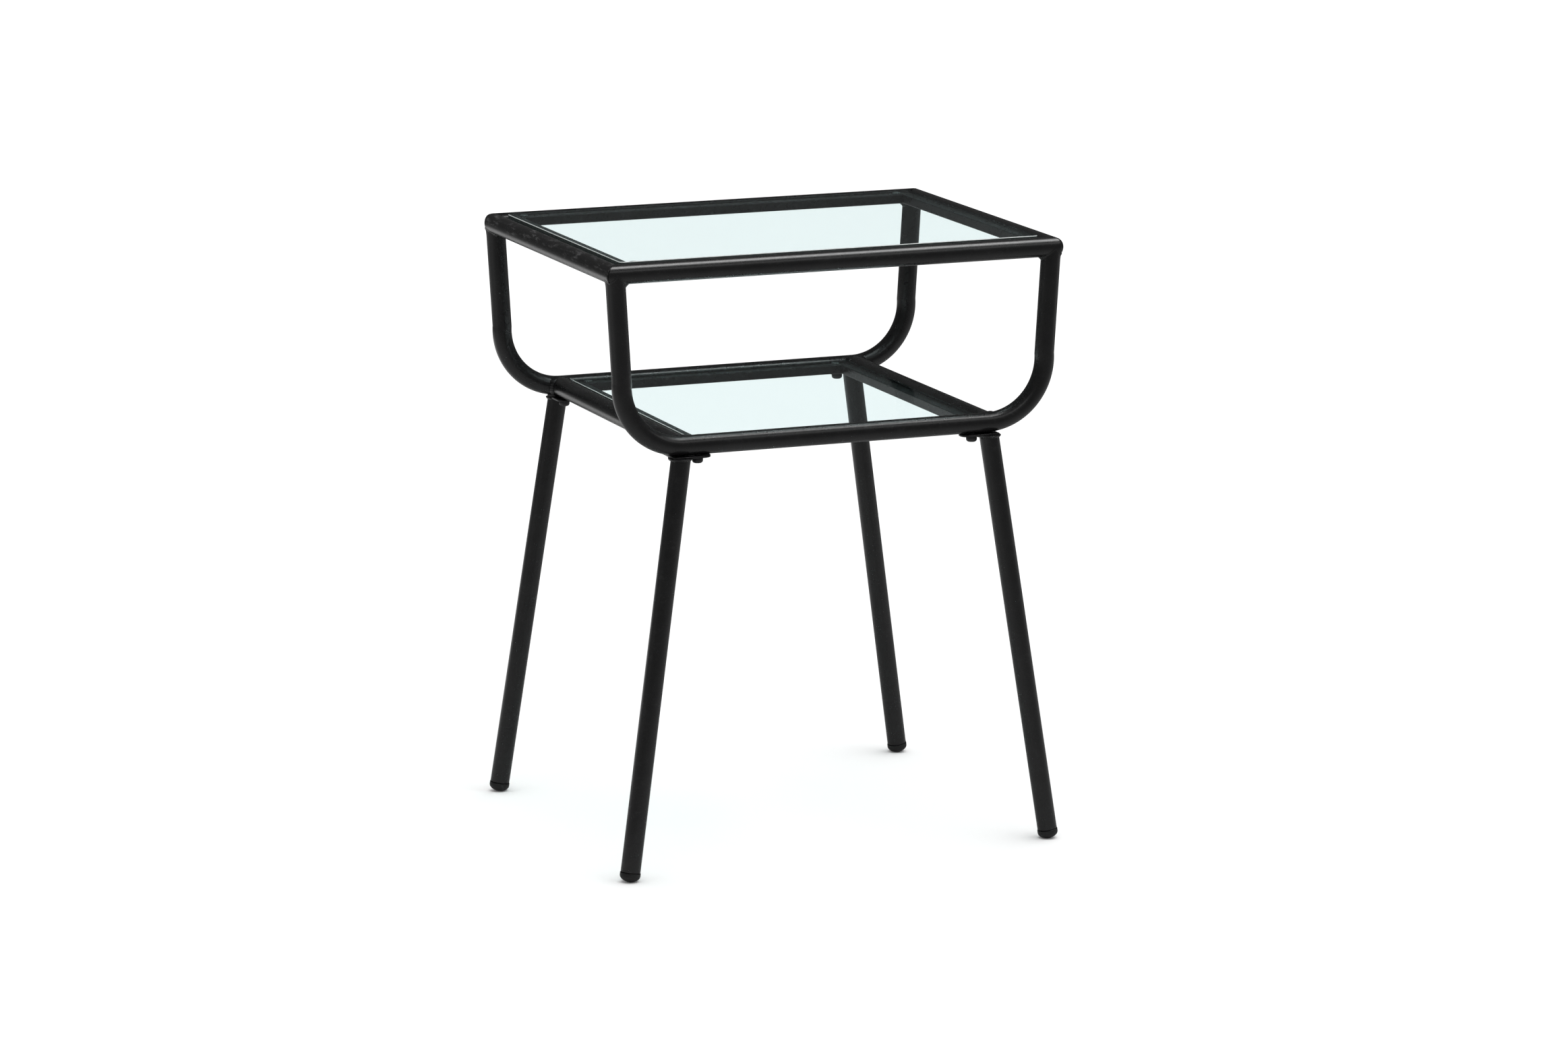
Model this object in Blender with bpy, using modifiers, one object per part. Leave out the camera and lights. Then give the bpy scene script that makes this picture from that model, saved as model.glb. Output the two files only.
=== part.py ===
"""Two-tier side table: a welded black tube frame on four splayed legs, with two drop-in glass shelves.

Metres, +Z up. The origin is on the floor under the middle of the table, +X is to the table's right
and +Y is to its back. Each sub-part is one named object in the collection "side_table".
"""

import math

import bmesh
import bpy
from mathutils import Matrix, Vector

# Overall frame, between tube axes
TOP_WIDTH = 0.449
TOP_DEPTH = 0.335
TOP_AXIS_Z = 0.5795
SHELF_WIDTH = 0.317
SHELF_AXIS_Z = 0.413

# Steel tube and the clearances between pieces
TUBE_R = 0.0095
TUBE_WALL = 0.0012
GAP = 0.0003
TUBE_SIDES = 24
SMALL_SIDES = 12

# Bent end frames: arms that lean inwards, and the bend below them
ARM_TOP_X = 0.2235
ARM_LEAN = 0.061
ARM_TOP_DROP = 0.005
BEND_R = 0.060
BEND_STEPS = 10

# Ledge that carries the glass inside each frame
LEDGE_WIDTH = 0.0125
LEDGE_HEIGHT = 0.009
LEDGE_EDGE_R = 0.0008

# Glass panes and the clear pads under their corners
GLASS_THICKNESS = 0.005
GLASS_INSET = 0.0103
GLASS_CORNER_R = 0.004
GLASS_ARRIS = 0.0006
TOP_GLASS_RISE = 0.0003
SHELF_GLASS_DROP = 0.0026
PAD_R = 0.004
PAD_HEIGHT = 0.001
PAD_FROM_CORNER = 0.010

# Legs and their feet
LEG_TOP = (0.1585, 0.1695)
LEG_FOOT = (0.2183, 0.1862)
LEG_SLAB_SIDE = 0.6
LEG_SLAB_HEIGHT = 0.05
FOOT_R = 0.0099
FOOT_COLLAR = 0.0029
FOOT_DOME = 0.0062
FOOT_FLAT_DEPTH = 0.0004
FOOT_STEM_R = 0.0078
FOOT_STEM_LENGTH = 0.014
FOOT_ARC_STEPS = 6

# Corner brackets, their bolts and the nuts inside the tubes
PLATE_THICKNESS = 0.002
PLATE_HALF_WIDTH = 0.009
PLATE_ARM = 0.030
PLATE_CORNER_R = 0.003
PLATE_END_R = 0.0085
PLATE_NOTCH_R = 0.004
BOLT_FROM_CORNER = 0.0175
WASHER_R = 0.0046
WASHER_HEIGHT = 0.001
HEAD_R = 0.0053
HEAD_RIM = 0.0018
HEAD_DOME = 0.0027
HEAD_FACE_R = 0.0030
HEAD_ARC_STEPS = 3
SOCKET_R = 0.0018
SOCKET_DEPTH = 0.0020
BOLT_SHANK_R = 0.0029
BOLT_LENGTH = 0.0105
BOLT_HOLE_R = 0.0034
HOLE_PAST_PLATE = 0.002
HOLE_BELOW_AXIS = 0.001
NUT_R = 0.005
NUT_HEIGHT = 0.005
NUT_BORE_R = 0.0032

# Heights that follow from the sizes above
CREST_TOP_Z = TOP_AXIS_Z + TUBE_R
CREST_SHELF_Z = SHELF_AXIS_Z + TUBE_R
TOP_GLASS_Z = CREST_TOP_Z + TOP_GLASS_RISE
SHELF_GLASS_Z = CREST_SHELF_Z - SHELF_GLASS_DROP
PLATE_TOP_Z = SHELF_AXIS_Z - TUBE_R - GAP
PLATE_BOTTOM_Z = PLATE_TOP_Z - PLATE_THICKNESS
LEG_TOP_Z = PLATE_BOTTOM_Z - GAP
NUT_BOTTOM_Z = SHELF_AXIS_Z - math.sqrt((TUBE_R - TUBE_WALL) ** 2 - NUT_R**2) + GAP

# Faces that meet at more than this angle keep a crisp edge
SHARP_ANGLE = math.radians(35)

SIDES = {"left": -1, "right": 1}
ENDS = {"front": -1, "back": 1}


def clear_scene():
    for obj in list(bpy.data.objects):
        bpy.data.objects.remove(obj, do_unlink=True)


def new_collection(name):
    collection = bpy.data.collections.new(name)
    bpy.context.scene.collection.children.link(collection)
    return collection


def principled(name, colour, roughness, metallic=0.0, **inputs):
    """A material with one Principled BSDF; inputs are further sockets, by name."""
    material = bpy.data.materials.new(name)
    material.use_nodes = True
    shader = material.node_tree.nodes["Principled BSDF"]
    shader.inputs["Base Color"].default_value = (*colour, 1.0)
    shader.inputs["Roughness"].default_value = roughness
    shader.inputs["Metallic"].default_value = metallic
    for socket, value in inputs.items():
        shader.inputs[socket.replace("_", " ")].default_value = value
    return material


clear_scene()
TABLE = new_collection("side_table")
CUTTERS = new_collection("side_table_cutters")

BLACK_PAINT = principled("black_paint", (0.020, 0.020, 0.022), 0.34)
FLOAT_GLASS = principled("float_glass", (0.80, 0.91, 0.89), 0.03, Alpha=0.35, IOR=1.52)
BLACK_RUBBER = principled("black_rubber", (0.014, 0.014, 0.015), 0.60)
CLEAR_PAD = principled("clear_pad", (0.86, 0.88, 0.88), 0.35, Alpha=0.6, IOR=1.41)
BOLT_STEEL = principled("bolt_steel", (0.030, 0.030, 0.032), 0.38, 0.6)
NUT_STEEL = principled("nut_steel", (0.55, 0.55, 0.56), 0.35, 1.0)


def add_object(name, mesh, material=None):
    """Links a mesh as a visible part, or as a cutter when it has no material."""
    obj = bpy.data.objects.new(name, mesh)
    if material is None:
        CUTTERS.objects.link(obj)
        obj.hide_render = True
        obj.display_type = "WIRE"
        return obj
    TABLE.objects.link(obj)
    if not mesh.materials:
        mesh.materials.append(material)
    mesh.shade_smooth()
    mesh.set_sharp_from_angle(angle=SHARP_ANGLE)
    return obj


def mesh_of_curve(name, curve):
    """The evaluated mesh of a curve, with its caps welded on."""
    holder = bpy.data.objects.new(name, curve)
    CUTTERS.objects.link(holder)
    bpy.context.view_layer.update()
    graph = bpy.context.evaluated_depsgraph_get()
    mesh = bpy.data.meshes.new_from_object(holder.evaluated_get(graph))
    bpy.data.objects.remove(holder, do_unlink=True)
    shape = bmesh.new()
    shape.from_mesh(mesh)
    bmesh.ops.remove_doubles(shape, verts=shape.verts, dist=1e-6)
    bmesh.ops.recalc_face_normals(shape, faces=shape.faces)
    shape.to_mesh(mesh)
    shape.free()
    mesh.name = name
    return mesh


def round_bar(name, route, radius, caps=True):
    """The mesh of a round bar along a route of points; without caps it is an open skin."""
    curve = bpy.data.curves.new(name, "CURVE")
    curve.dimensions = "3D"
    curve.bevel_depth = radius
    curve.bevel_resolution = (TUBE_SIDES - 4) // 2
    curve.use_fill_caps = caps
    spline = curve.splines.new("POLY")
    spline.points.add(len(route) - 1)
    for point, place in zip(spline.points, route):
        point.co = (*place, 1.0)
    return mesh_of_curve(name, curve)


def flat_plate(name, outline, thickness, chamfer=0.0):
    """The mesh of a closed outline in XY, centred on z = 0, with chamfered rims."""
    curve = bpy.data.curves.new(name, "CURVE")
    curve.dimensions = "2D"
    curve.fill_mode = "BOTH"
    curve.extrude = thickness / 2 - chamfer
    curve.bevel_depth = chamfer
    curve.bevel_resolution = 0
    curve.offset = -chamfer
    spline = curve.splines.new("POLY")
    spline.use_cyclic_u = True
    spline.points.add(len(outline) - 1)
    for point, (x, y) in zip(spline.points, outline):
        point.co = (x, y, 0.0, 1.0)
    return mesh_of_curve(name, curve)


def rounded_outline(corners, radii, steps=4):
    """Outline points of a polygon, counter-clockwise, with an arc of each radius at each corner."""
    points = []
    count = len(corners)
    for i, radius in enumerate(radii):
        here = Vector(corners[i])
        to_last = (Vector(corners[i - 1]) - here).normalized()
        to_next = (Vector(corners[(i + 1) % count]) - here).normalized()
        half = to_last.angle(to_next) / 2
        centre = here + (to_last + to_next).normalized() * radius / math.sin(half)
        start = here + to_last * radius / math.tan(half) - centre
        turn = start.angle_signed(here + to_next * radius / math.tan(half) - centre)
        for k in range(steps + 1):
            points.append(centre + Matrix.Rotation(-turn * k / steps, 2) @ start)
    return points


def box_mesh(name, size):
    shape = bmesh.new()
    bmesh.ops.create_cube(shape, size=1.0, matrix=Matrix.Diagonal((*size, 1.0)))
    mesh = bpy.data.meshes.new(name)
    shape.to_mesh(mesh)
    shape.free()
    return mesh


def cylinder_mesh(name, radius, depth, sides=TUBE_SIDES):
    """A capped cylinder along Z, standing on z = 0."""
    shape = bmesh.new()
    bmesh.ops.create_cone(
        shape,
        cap_ends=True,
        segments=sides,
        radius1=radius,
        radius2=radius,
        depth=depth,
        matrix=Matrix.Translation((0, 0, depth / 2)),
    )
    mesh = bpy.data.meshes.new(name)
    shape.to_mesh(mesh)
    shape.free()
    return mesh


def turned_mesh(name, profile, closed=False, steps=TUBE_SIDES):
    """The mesh of a profile of (radius, height) points, outer side top to bottom, turned about Z."""
    mesh = bpy.data.meshes.new(name)
    count = len(profile)
    links = [(i, i + 1) for i in range(count - 1)] + ([(count - 1, 0)] if closed else [])
    mesh.from_pydata([(r, 0.0, z) for r, z in profile], links, [])
    holder = bpy.data.objects.new(name, mesh)
    CUTTERS.objects.link(holder)
    screw = holder.modifiers.new("turn", "SCREW")
    screw.steps = steps
    screw.render_steps = steps
    screw.use_merge_vertices = True
    screw.merge_threshold = 1e-6
    bpy.context.view_layer.update()
    graph = bpy.context.evaluated_depsgraph_get()
    turned = bpy.data.meshes.new_from_object(holder.evaluated_get(graph))
    bpy.data.objects.remove(holder, do_unlink=True)
    turned.name = name
    return turned


def cut(obj, *cutters, join=False):
    for cutter in cutters:
        modifier = obj.modifiers.new(cutter.name, "BOOLEAN")
        modifier.operation = "UNION" if join else "DIFFERENCE"
        modifier.solver = "EXACT"
        modifier.object = cutter


def hollow_tube(name, route, *cutters):
    """A steel tube along a route, open at both ends, with pieces cut from it."""
    obj = add_object(name, round_bar(name, route, TUBE_R, caps=False), BLACK_PAINT)
    wall = obj.modifiers.new("wall", "SOLIDIFY")
    wall.thickness = TUBE_WALL
    wall.offset = -1.0
    cut(obj, *cutters)
    return obj


def clearance_bar(name, route):
    """A cutter that leaves the standard gap around a tube on the same route."""
    return add_object(name, round_bar(name, route, TUBE_R + GAP))


def block_cutter(name, size, centre, turn=0.0):
    obj = add_object(name, box_mesh(name, size))
    obj.location = centre
    obj.rotation_euler.z = turn
    return obj


# Mitred corners: every corner has one cutter for what runs along X and one for what runs along Y
MITRE_BLOCK = 0.070
RAIL_OVERRUN = 0.015


def mitre_cutters(prefix, half_width, half_depth, height):
    """Blocks that end the X pieces ("x") and the Y pieces ("y") on each corner's mitre plane."""
    cutters = {}
    for side, sx in SIDES.items():
        for end, sy in ENDS.items():
            corner = Vector((sx * half_width, sy * half_depth, height))
            normal = Vector((sx, -sy, 0.0)).normalized()
            reach = MITRE_BLOCK / 2 - GAP / 2
            for run, sign in (("x", 1), ("y", -1)):
                name = f"{prefix}_mitre_{side}_{end}_{run}"
                size = (MITRE_BLOCK, MITRE_BLOCK, MITRE_BLOCK)
                place = corner + normal * reach * sign
                cutters[side, end, run] = block_cutter(name, size, place, math.radians(45))
    return cutters


def four_sides(half_width, half_depth):
    """Name, run, middle and half-length of the four sides of a frame between its axes."""
    for end, sy in ENDS.items():
        yield end, "x", Vector((0, sy * half_depth, 0)), half_width
    for side, sx in SIDES.items():
        yield side, "y", Vector((sx * half_width, 0, 0)), half_depth


def corner_cutters(cutters, side_name, run):
    """The two mitre cutters at the ends of one side."""
    if run == "x":
        return [cutters[side, side_name, "x"] for side in SIDES]
    return [cutters[side_name, end, "y"] for end in ENDS]


def along(run, distance):
    return Vector((distance, 0, 0)) if run == "x" else Vector((0, distance, 0))


def inward(middle):
    return -middle.normalized()


TOP_MITRES = mitre_cutters("top", TOP_WIDTH / 2, TOP_DEPTH / 2, TOP_AXIS_Z)
SHELF_MITRES = mitre_cutters("shelf", SHELF_WIDTH / 2, TOP_DEPTH / 2, SHELF_AXIS_Z)


def top_rails():
    """Four mitred tubes that make the top frame, and the clearance around them for the arms."""
    clearances = {}
    for name, run, middle, half in four_sides(TOP_WIDTH / 2, TOP_DEPTH / 2):
        middle = middle + Vector((0, 0, TOP_AXIS_Z))
        reach = along(run, half + RAIL_OVERRUN)
        route = [middle - reach, middle + reach]
        clearances[name] = clearance_bar(f"top_clearance_{name}", route)
        hollow_tube(f"top_rail_{name}", route, *corner_cutters(TOP_MITRES, name, run))
    return clearances


def ledges(prefix, half_width, half_depth, top_z, mitres):
    """Four mitred bars inside a frame, level with each other, under the edge of its glass."""
    offset = TUBE_R + GAP + LEDGE_WIDTH / 2
    for name, run, middle, half in four_sides(half_width, half_depth):
        size = (2 * half, LEDGE_WIDTH, LEDGE_HEIGHT)
        if run == "y":
            size = (LEDGE_WIDTH, 2 * half, LEDGE_HEIGHT)
        title = f"{prefix}_ledge_{name}"
        obj = add_object(title, box_mesh(title, size), BLACK_PAINT)
        obj.location = middle + inward(middle) * offset + Vector((0, 0, top_z - LEDGE_HEIGHT / 2))
        edge = obj.modifiers.new("edge", "BEVEL")
        edge.width = LEDGE_EDGE_R
        edge.segments = 2
        cut(obj, *corner_cutters(mitres, name, run))


def bent_frame_route(y):
    """Points of a bent end frame's axis: down the left arm, round both bends and up the right arm."""
    lean = math.atan(ARM_LEAN)
    centre_z = SHELF_AXIS_Z + BEND_R
    arm_x_here = ARM_TOP_X - ARM_LEAN * (TOP_AXIS_Z - centre_z)
    centre_x = arm_x_here - BEND_R / math.cos(lean)
    top_z = TOP_AXIS_Z - ARM_TOP_DROP
    half = []
    for k in range(BEND_STEPS + 1):
        angle = (math.pi / 2 + lean) * k / BEND_STEPS
        half.append((centre_x + BEND_R * math.sin(angle), centre_z - BEND_R * math.cos(angle)))
    half.append((ARM_TOP_X - ARM_LEAN * ARM_TOP_DROP, top_z))
    left = [Vector((-x, y, z)) for x, z in reversed(half)]
    return left + [Vector((x, y, z)) for x, z in half]


def bolt_places():
    """Name, X and Y of the two bolts at each corner: one in the bent frame, one in the side rail."""
    for side, sx in SIDES.items():
        for end, sy in ENDS.items():
            x = sx * SHELF_WIDTH / 2
            y = sy * TOP_DEPTH / 2
            yield f"{end}_{side}_a", x - sx * BOLT_FROM_CORNER, y
            yield f"{end}_{side}_b", x, y - sy * BOLT_FROM_CORNER


def bolt_holes():
    """Cutters for the bolt holes in the plates and in the lower wall of the tubes."""
    holes = {}
    for name, x, y in bolt_places():
        bottom = PLATE_BOTTOM_Z - HOLE_PAST_PLATE
        depth = SHELF_AXIS_Z - HOLE_BELOW_AXIS - bottom
        mesh = cylinder_mesh(f"hole_{name}", BOLT_HOLE_R, depth, SMALL_SIDES)
        holes[name] = add_object(f"hole_{name}", mesh)
        holes[name].location = (x, y, bottom)
    return holes


HOLES = bolt_holes()


def bent_frames(top_clearances):
    """Two bent tubes, front and back, coped under the corners of the top frame."""
    clearances = []
    for end, sy in ENDS.items():
        route = bent_frame_route(sy * TOP_DEPTH / 2)
        cutters = [top_clearances[name] for name in (end, *SIDES)]
        cutters += [HOLES[f"{end}_{side}_a"] for side in SIDES]
        hollow_tube(f"u_frame_{end}", route, *cutters)
        clearances.append(clearance_bar(f"u_clearance_{end}", route))
    return clearances


def shelf_rails(bent_clearances):
    """Left and right tubes of the shelf frame, coped between the two bent frames."""
    for side, sx in SIDES.items():
        x = sx * SHELF_WIDTH / 2
        ends = [Vector((x, sy * TOP_DEPTH / 2, SHELF_AXIS_Z)) for sy in ENDS.values()]
        holes = [HOLES[f"{end}_{side}_b"] for end in ENDS]
        hollow_tube(f"shelf_rail_{side}", ends, *bent_clearances, *holes)


def glass_pane(name, half_width, half_depth, top_z):
    """A pane with rounded corners and ground edges, which lies loose in its frame."""
    x = half_width - GLASS_INSET
    y = half_depth - GLASS_INSET
    corners = [(-x, -y), (x, -y), (x, y), (-x, y)]
    outline = rounded_outline(corners, [GLASS_CORNER_R] * 4)
    obj = add_object(name, flat_plate(name, outline, GLASS_THICKNESS, GLASS_ARRIS), FLOAT_GLASS)
    obj.location.z = top_z - GLASS_THICKNESS / 2


def pads(prefix, half_width, half_depth, ledge_z):
    """A clear pad near each corner, on the front and back ledges."""
    mesh = cylinder_mesh("pad", PAD_R, PAD_HEIGHT, SMALL_SIDES)
    inset = TUBE_R + GAP + LEDGE_WIDTH / 2
    for side, sx in SIDES.items():
        for end, sy in ENDS.items():
            obj = add_object(f"{prefix}_pad_{end}_{side}", mesh, CLEAR_PAD)
            x = sx * (half_width - inset - PAD_FROM_CORNER)
            obj.location = (x, sy * (half_depth - inset), ledge_z + GAP)


def ledge_level(glass_top_z):
    """Top of the ledges below a pane, leaving the pads' height and two gaps."""
    return glass_top_z - GLASS_THICKNESS - PAD_HEIGHT - 2 * GAP


def leg_direction(sx, sy):
    """Where a leg's foot is on the floor, and the unit vector up along the leg."""
    foot = Vector((sx * LEG_FOOT[0], sy * LEG_FOOT[1], 0.0))
    top = Vector((sx * LEG_TOP[0], sy * LEG_TOP[1], LEG_TOP_Z))
    return foot, (top - foot).normalized()


def foot_mesh():
    """A plug on Z with a stem, a collar and a flattened dome whose centre is at the origin."""
    dome = [
        (FOOT_R * math.cos(a), -FOOT_DOME * math.sin(a))
        for a in (math.pi / 2 * k / FOOT_ARC_STEPS for k in range(FOOT_ARC_STEPS))
    ]
    stem_top = FOOT_COLLAR + FOOT_STEM_LENGTH
    stem = [(0.0, stem_top), (FOOT_STEM_R, stem_top), (FOOT_STEM_R, FOOT_COLLAR)]
    return turned_mesh("foot", [*stem, (FOOT_R, FOOT_COLLAR), *dome, (0.0, -FOOT_DOME)])


def legs_and_feet():
    """Four splayed tubes, cut level under the plates, each with a plug pressed in its lower end."""
    plug = foot_mesh()
    slab = (LEG_SLAB_SIDE, LEG_SLAB_SIDE, LEG_SLAB_HEIGHT)
    above = block_cutter("above_legs", slab, (0, 0, LEG_TOP_Z + LEG_SLAB_HEIGHT / 2))
    floor = block_cutter("below_floor", slab, (0, 0, -LEG_SLAB_HEIGHT / 2))
    for side, sx in SIDES.items():
        for end, sy in ENDS.items():
            foot, up = leg_direction(sx, sy)
            tilt = math.acos(up.z)
            reach = math.hypot(FOOT_R * math.sin(tilt), FOOT_DOME * math.cos(tilt))
            dome = foot + up * (reach - FOOT_FLAT_DEPTH) / up.z
            low = dome + up * (FOOT_COLLAR + GAP)
            high = foot + up * (LEG_TOP_Z + 2 * TUBE_R) / up.z
            hollow_tube(f"leg_{end}_{side}", [low, high], above)
            obj = add_object(f"foot_{end}_{side}", plug, BLACK_RUBBER)
            obj.location = dome
            obj.rotation_euler = up.to_track_quat("Z", "Y").to_euler()
            cut(obj, floor)


def bracket_plates():
    """An L-shaped plate under each corner of the shelf frame, with a hole in each arm."""
    w = PLATE_HALF_WIDTH
    arm = PLATE_ARM
    corners = [(-w, -w), (arm, -w), (arm, w), (w, w), (w, arm), (-w, arm)]
    radii = [PLATE_CORNER_R, PLATE_END_R, PLATE_END_R, PLATE_NOTCH_R, PLATE_END_R, PLATE_END_R]
    mesh = flat_plate("plate", rounded_outline(corners, radii, 3), PLATE_THICKNESS)
    round_the_frame = [("left", "front"), ("right", "front"), ("right", "back"), ("left", "back")]
    for quarters, (side, end) in enumerate(round_the_frame):
        obj = add_object(f"plate_{end}_{side}", mesh, BLACK_PAINT)
        x = SIDES[side] * SHELF_WIDTH / 2
        y = ENDS[end] * TOP_DEPTH / 2
        obj.location = (x, y, PLATE_TOP_Z - PLATE_THICKNESS / 2)
        obj.rotation_euler.z = quarters * math.pi / 2
        cut(obj, HOLES[f"{end}_{side}_a"], HOLES[f"{end}_{side}_b"])


def bolt_mesh():
    """A button-head bolt on Z: its washer and its head hang below z = 0, its shank stands above it."""
    rim = -WASHER_HEIGHT - HEAD_RIM
    shank = [(0.0, BOLT_LENGTH), (BOLT_SHANK_R, BOLT_LENGTH), (BOLT_SHANK_R, 0.0)]
    washer = [(WASHER_R, 0.0), (WASHER_R, -WASHER_HEIGHT), (HEAD_R, -WASHER_HEIGHT)]
    dome = [
        (HEAD_FACE_R + (HEAD_R - HEAD_FACE_R) * math.cos(a), rim - HEAD_DOME * math.sin(a))
        for a in (math.pi / 2 * k / HEAD_ARC_STEPS for k in range(HEAD_ARC_STEPS + 1))
    ]
    profile = [*shank, *washer, *dome, (0.0, rim - HEAD_DOME)]
    solid = turned_mesh("bolt", profile, steps=2 * SMALL_SIDES)
    bolt = add_object("bolt_blank", solid)
    socket = add_object("bolt_socket", cylinder_mesh("socket", SOCKET_R, 2 * SOCKET_DEPTH, 6))
    socket.location.z = rim - HEAD_DOME - SOCKET_DEPTH
    cut(bolt, socket)
    bpy.context.view_layer.update()
    graph = bpy.context.evaluated_depsgraph_get()
    mesh = bpy.data.meshes.new_from_object(bolt.evaluated_get(graph))
    for helper in (bolt, socket):
        bpy.data.objects.remove(helper, do_unlink=True)
    return mesh


def fasteners():
    """A bolt up through each plate hole, and the round nut that it screws into inside the tube."""
    bolt = bolt_mesh()
    ring = [(NUT_R, NUT_HEIGHT), (NUT_R, 0.0), (NUT_BORE_R, 0.0), (NUT_BORE_R, NUT_HEIGHT)]
    nut = turned_mesh("nut", ring, closed=True, steps=SMALL_SIDES)
    for name, x, y in bolt_places():
        add_object(f"bolt_{name}", bolt, BOLT_STEEL).location = (x, y, LEG_TOP_Z)
        add_object(f"nut_{name}", nut, NUT_STEEL).location = (x, y, NUT_BOTTOM_Z)


def build():
    top_half = (TOP_WIDTH / 2, TOP_DEPTH / 2)
    shelf_half = (SHELF_WIDTH / 2, TOP_DEPTH / 2)
    shelf_rails(bent_frames(top_rails()))
    tiers = (
        ("top", top_half, TOP_GLASS_Z, TOP_MITRES),
        ("shelf", shelf_half, SHELF_GLASS_Z, SHELF_MITRES),
    )
    for tier, half, glass_z, mitres in tiers:
        ledges(tier, *half, ledge_level(glass_z), mitres)
        pads(tier, *half, ledge_level(glass_z))
        glass_pane(f"{tier}_glass", *half, glass_z)
    bracket_plates()
    fasteners()
    legs_and_feet()


build()
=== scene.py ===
import math

import bmesh
import bpy
import numpy as np
from mathutils import Matrix, Vector


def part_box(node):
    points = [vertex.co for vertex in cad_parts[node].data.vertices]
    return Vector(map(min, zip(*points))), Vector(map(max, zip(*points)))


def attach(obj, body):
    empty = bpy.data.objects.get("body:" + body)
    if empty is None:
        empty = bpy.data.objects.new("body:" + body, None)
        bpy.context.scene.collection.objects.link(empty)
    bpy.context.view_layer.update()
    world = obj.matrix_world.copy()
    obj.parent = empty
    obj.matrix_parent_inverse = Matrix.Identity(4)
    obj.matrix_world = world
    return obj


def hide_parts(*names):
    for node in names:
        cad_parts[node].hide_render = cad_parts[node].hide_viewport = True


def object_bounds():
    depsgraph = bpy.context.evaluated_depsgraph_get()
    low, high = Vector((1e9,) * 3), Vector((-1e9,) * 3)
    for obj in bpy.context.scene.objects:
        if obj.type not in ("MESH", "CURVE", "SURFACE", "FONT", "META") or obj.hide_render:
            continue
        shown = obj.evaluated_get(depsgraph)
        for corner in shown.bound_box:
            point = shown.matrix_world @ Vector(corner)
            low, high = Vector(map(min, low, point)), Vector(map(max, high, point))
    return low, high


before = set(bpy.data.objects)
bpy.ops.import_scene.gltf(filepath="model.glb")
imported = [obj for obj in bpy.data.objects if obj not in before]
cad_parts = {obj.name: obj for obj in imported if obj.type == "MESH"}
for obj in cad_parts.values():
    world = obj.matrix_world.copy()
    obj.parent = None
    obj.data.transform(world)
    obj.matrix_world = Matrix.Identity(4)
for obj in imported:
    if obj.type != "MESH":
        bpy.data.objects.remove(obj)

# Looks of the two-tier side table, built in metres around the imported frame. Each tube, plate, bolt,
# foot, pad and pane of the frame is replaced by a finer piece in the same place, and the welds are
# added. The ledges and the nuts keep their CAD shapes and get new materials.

CAD_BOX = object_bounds()

SIDES = {"left": -1, "right": 1}
ENDS = {"front": -1, "back": 1}
TIERS = ("top", "shelf")


def middle(node):
    low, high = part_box(node)
    return (low + high) / 2


def span(node):
    low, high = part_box(node)
    return high - low


# Places and sizes that the frame's own nodes give
TUBE_R = span("top_rail_front").z / 2
TOP_Z = middle("top_rail_front").z
HALF_DEPTH = middle("top_rail_back").y
TOP_HALF_WIDTH = middle("top_rail_right").x
SHELF_HALF_WIDTH = middle("shelf_rail_right").x
SHELF_Z = middle("shelf_rail_right").z
LEG_TOP_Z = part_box("leg_front_left")[1].z

# Sizes of the frame that a box doesn't give
ARM_TOP_X = 0.2235
ARM_LEAN = 0.061
# An arm's plain rings stop this many tube radii below the top frame's axis
ARM_STOP = 1.3
BEND_R = 0.060
BEND_ANGLE = math.pi / 2 + math.atan(ARM_LEAN)
BEND_Z = SHELF_Z + BEND_R
BEND_X = ARM_TOP_X - ARM_LEAN * (TOP_Z - BEND_Z) - BEND_R / math.cos(math.atan(ARM_LEAN))
LEG_TOP = (0.1585, 0.1695)
LEG_FOOT = (0.2183, 0.1862)
FOOT_R = 0.0099
FOOT_COLLAR = 0.0029
FOOT_DOME = 0.0062
FOOT_FLAT_DEPTH = 0.0004
FOOT_SEAM = 0.0003
FOOT_COLLAR_EDGE = 0.0005
FOOT_STEM_R = 0.0078
FOOT_STEM = 0.010
LEG_LIP = 0.0007

# Fineness of the meshes
TUBE_SIDES = 72
SMALL_SIDES = 48
PAD_SIDES = 40
HOLE_SIDES = 28
BEND_RINGS = 56
BODY_RINGS = 9
ARM_RINGS = 4
SHELF_RINGS = 13
LEG_RINGS = 8
LIP_RINGS = 4
COLLAR_STEPS = 4
DOME_STEPS = 18
RIM_STEPS = 3
PAD_STEPS = 5
JOINT_PASSES = 8
SHARP_ANGLE = math.radians(38)
SHARP_ON_WELDS = math.radians(70)
SHARP_ON_GLASS = math.radians(25)
# Radius where the fan that closes a turned piece starts
HUB_R = {"bolt": 0.0003, "foot": 0.0004, "pad": 0.0002}

# Welded corners of the top frame
CORNER_R = {"front_left": 0.0030, "front_right": 0.0070, "back_left": 0.0105, "back_right": 0.0080}
CORNER_FADE = 2.0
CORNER_REACH = 0.012
CORNER_RINGS = 18
CORNER_CROWDING = 1.6
SEAM_DEPTH = 0.00085
SEAM_WIDTH = 0.00048
EMBED = 0.0004

# Weld beads: how far each reaches, the share of that left on an arm's outer sides and how soon it is
# reached, how full they are (0 is hollow and 1 is flat), and what their unevenness starts from
ARM_WELD = 0.0040
ARM_WELD_OUTER = 0.35
ARM_WELD_TURN = 1.6
SHELF_WELD = 0.0034
LEG_WELD = 0.0024
WELD_POINTS = 360
WELD_FILL = 0.45
SHELF_WELD_FILL = 1.0
WELD_LEAN = 0.35
WELD_SEEDS = {"top": 1.3, "shelf": 4.0, "leg": 7.0}
RIPPLE_PITCH = 0.0019
RIPPLE_DEPTH = 0.00042
BEAD_STEPS = 8
BEAD_WANDER = 0.09

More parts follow.
